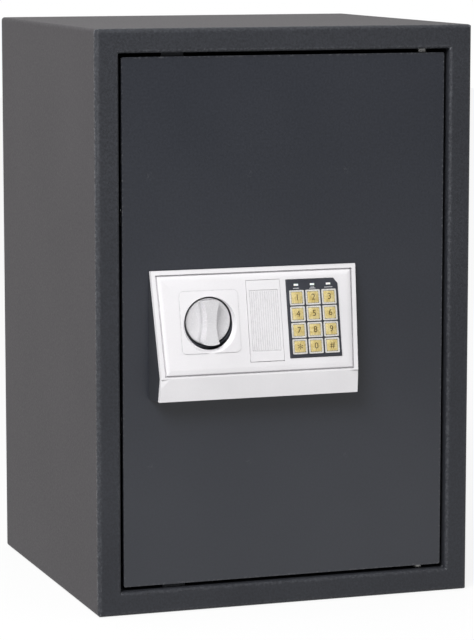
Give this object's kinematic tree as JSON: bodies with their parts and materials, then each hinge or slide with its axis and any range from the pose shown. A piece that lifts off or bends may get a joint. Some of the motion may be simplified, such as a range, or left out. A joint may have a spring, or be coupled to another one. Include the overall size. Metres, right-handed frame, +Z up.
{
  "type": "safe deposit box",
  "caption": "Free-standing folded steel safe with an inset hinged door, wedge lock panel with keypad and knob, live bolts, shelf and anchor holes.",
  "frame": {"origin": "centre of the cabinet's underside", "axes": "+Z up, the door faces -Y, +X to the right when facing the door"},
  "size_m": [0.34, 0.3271, 0.5],
  "materials": {
    "graphite": "fine textured powder coat, graphite grey",
    "wedge": "smooth powder coat, graphite grey",
    "silver": "silver lacquer over moulded plastic",
    "zinc": "zinc plated steel",
    "brass": "turned brass",
    "gold_key": "gold lacquered key caps",
    "key_frame": "bright silver trim",
    "black": "moulded black plastic",
    "lens": "clouded white lens",
    "board": "solder resist over laminate",
    "copper": "enamelled copper winding",
    "felt": "needle felt, charcoal",
    "cell": "plain shrink sleeve",
    "red": "red moulded plastic",
    "wire": "soft insulated leads"
  },
  "bodies": {
    "cabinet": {"cabinet_wrap": "graphite", "front_frame": "graphite", "back_panel": "graphite", "stop_tabs": "graphite", "hinge_pins": "zinc", "hinge_washers": "zinc", "shelf": "graphite", "shelf_brackets": "graphite", "floor_mat": "felt"},
    "door": {"door_plate": "graphite", "hinge_blocks": "graphite", "panel_housing": "wedge", "panel_bezel": "silver", "face_plate": "silver", "knob_dish": "black", "keypad_base": "black", "key_frames": "key_frame", "status_lenses": "lens", "keypad_board": "board", "panel_screws": "zinc", "override_barrel": "zinc", "barrel_nut": "zinc", "spindle_bush": "brass", "guide_studs": "zinc", "bolt_guides": "zinc", "solenoid_frame": "zinc", "solenoid_coil": "copper", "plunger_spring": "zinc", "inner_cover": "graphite", "cover_screws": "zinc", "battery_box": "black", "batteries": "cell", "battery_contacts": "zinc", "reset_switch": "black", "wiring": "wire"},
    "knob": {"knob": "silver", "knob_spindle": "zinc", "drive_cam": "zinc"},
    "bolt_carriage": {"bolt_carriage": "zinc", "bolt_upper": "zinc", "bolt_lower": "zinc", "bolt_nuts": "zinc"},
    "plunger": {"solenoid_plunger": "zinc"},
    "override_plug": {"override_plug": "brass"},
    "key_cover": {"key_cover": "silver"},
    "battery_lid": {"battery_lid": "black"},
    "reset_button": {"reset_button": "red"},
    "key_1": {"key_1": "gold_key"},
    "key_2": {"key_2": "gold_key"},
    "key_3": {"key_3": "gold_key"},
    "key_4": {"key_4": "gold_key"},
    "key_5": {"key_5": "gold_key"},
    "key_6": {"key_6": "gold_key"},
    "key_7": {"key_7": "gold_key"},
    "key_8": {"key_8": "gold_key"},
    "key_9": {"key_9": "gold_key"},
    "key_star": {"key_star": "gold_key"},
    "key_0": {"key_0": "gold_key"},
    "key_hash": {"key_hash": "gold_key"}
  },
  "joints": [
    {"name": "door_swing", "type": "hinge", "parent": "cabinet", "child": "door", "pos_m": [0.12883, -0.14, 0.25], "axis": [0, 0, 1], "range_deg": [0, 100]},
    {"name": "knob_turn", "type": "hinge", "parent": "door", "child": "knob", "pos_m": [-0.073, -0.146, 0.2515], "axis": [0, -1, 0], "range_deg": [0, 90]},
    {"name": "bolt_slide", "type": "slide", "parent": "door", "child": "bolt_carriage", "axis": [-1, 0, 0], "range_m": [0, 0.016]},
    {"name": "plunger_drop", "type": "slide", "parent": "door", "child": "plunger", "axis": [0, 0, -1], "range_m": [0, 0.008], "deforming": ["plunger_spring"]},
    {"name": "override_turn", "type": "hinge", "parent": "door", "child": "override_plug", "pos_m": [-0.0235, -0.146, 0.2515], "axis": [0, 1, 0], "range_deg": [0, 90]},
    {"name": "key_cover_pull", "type": "slide", "parent": "door", "child": "key_cover", "axis": [0, -0.9806, 0.1961], "range_m": [0, 0.03]},
    {"name": "battery_lid_swing", "type": "hinge", "parent": "door", "child": "battery_lid", "pos_m": [0.019, -0.1106, 0.2853], "axis": [-1, 0, 0], "range_deg": [0, 90]},
    {"name": "reset_press", "type": "slide", "parent": "door", "child": "reset_button", "axis": [0, -1, 0], "range_m": [0, 0.002], "stiffness_N_per_m": 300},
    {"name": "key_1_press", "type": "slide", "parent": "door", "child": "key_1", "axis": [0, 0.9806, -0.1961], "range_m": [0, 0.0012], "stiffness_N_per_m": 400},
    {"name": "key_2_press", "type": "slide", "parent": "door", "child": "key_2", "axis": [0, 0.9806, -0.1961], "range_m": [0, 0.0012], "stiffness_N_per_m": 400},
    {"name": "key_3_press", "type": "slide", "parent": "door", "child": "key_3", "axis": [0, 0.9806, -0.1961], "range_m": [0, 0.0012], "stiffness_N_per_m": 400},
    {"name": "key_4_press", "type": "slide", "parent": "door", "child": "key_4", "axis": [0, 0.9806, -0.1961], "range_m": [0, 0.0012], "stiffness_N_per_m": 400},
    {"name": "key_5_press", "type": "slide", "parent": "door", "child": "key_5", "axis": [0, 0.9806, -0.1961], "range_m": [0, 0.0012], "stiffness_N_per_m": 400},
    {"name": "key_6_press", "type": "slide", "parent": "door", "child": "key_6", "axis": [0, 0.9806, -0.1961], "range_m": [0, 0.0012], "stiffness_N_per_m": 400},
    {"name": "key_7_press", "type": "slide", "parent": "door", "child": "key_7", "axis": [0, 0.9806, -0.1961], "range_m": [0, 0.0012], "stiffness_N_per_m": 400},
    {"name": "key_8_press", "type": "slide", "parent": "door", "child": "key_8", "axis": [0, 0.9806, -0.1961], "range_m": [0, 0.0012], "stiffness_N_per_m": 400},
    {"name": "key_9_press", "type": "slide", "parent": "door", "child": "key_9", "axis": [0, 0.9806, -0.1961], "range_m": [0, 0.0012], "stiffness_N_per_m": 400},
    {"name": "key_star_press", "type": "slide", "parent": "door", "child": "key_star", "axis": [0, 0.9806, -0.1961], "range_m": [0, 0.0012], "stiffness_N_per_m": 400},
    {"name": "key_0_press", "type": "slide", "parent": "door", "child": "key_0", "axis": [0, 0.9806, -0.1961], "range_m": [0, 0.0012], "stiffness_N_per_m": 400},
    {"name": "key_hash_press", "type": "slide", "parent": "door", "child": "key_hash", "axis": [0, 0.9806, -0.1961], "range_m": [0, 0.0012], "stiffness_N_per_m": 400}
  ],
  "couplings": [
    {"joint": "knob_turn", "follows": "bolt_slide", "rad_per_m": 98.174},
    {"joint": "plunger_drop", "follows": "bolt_slide", "ratio": 0.5}
  ]
}
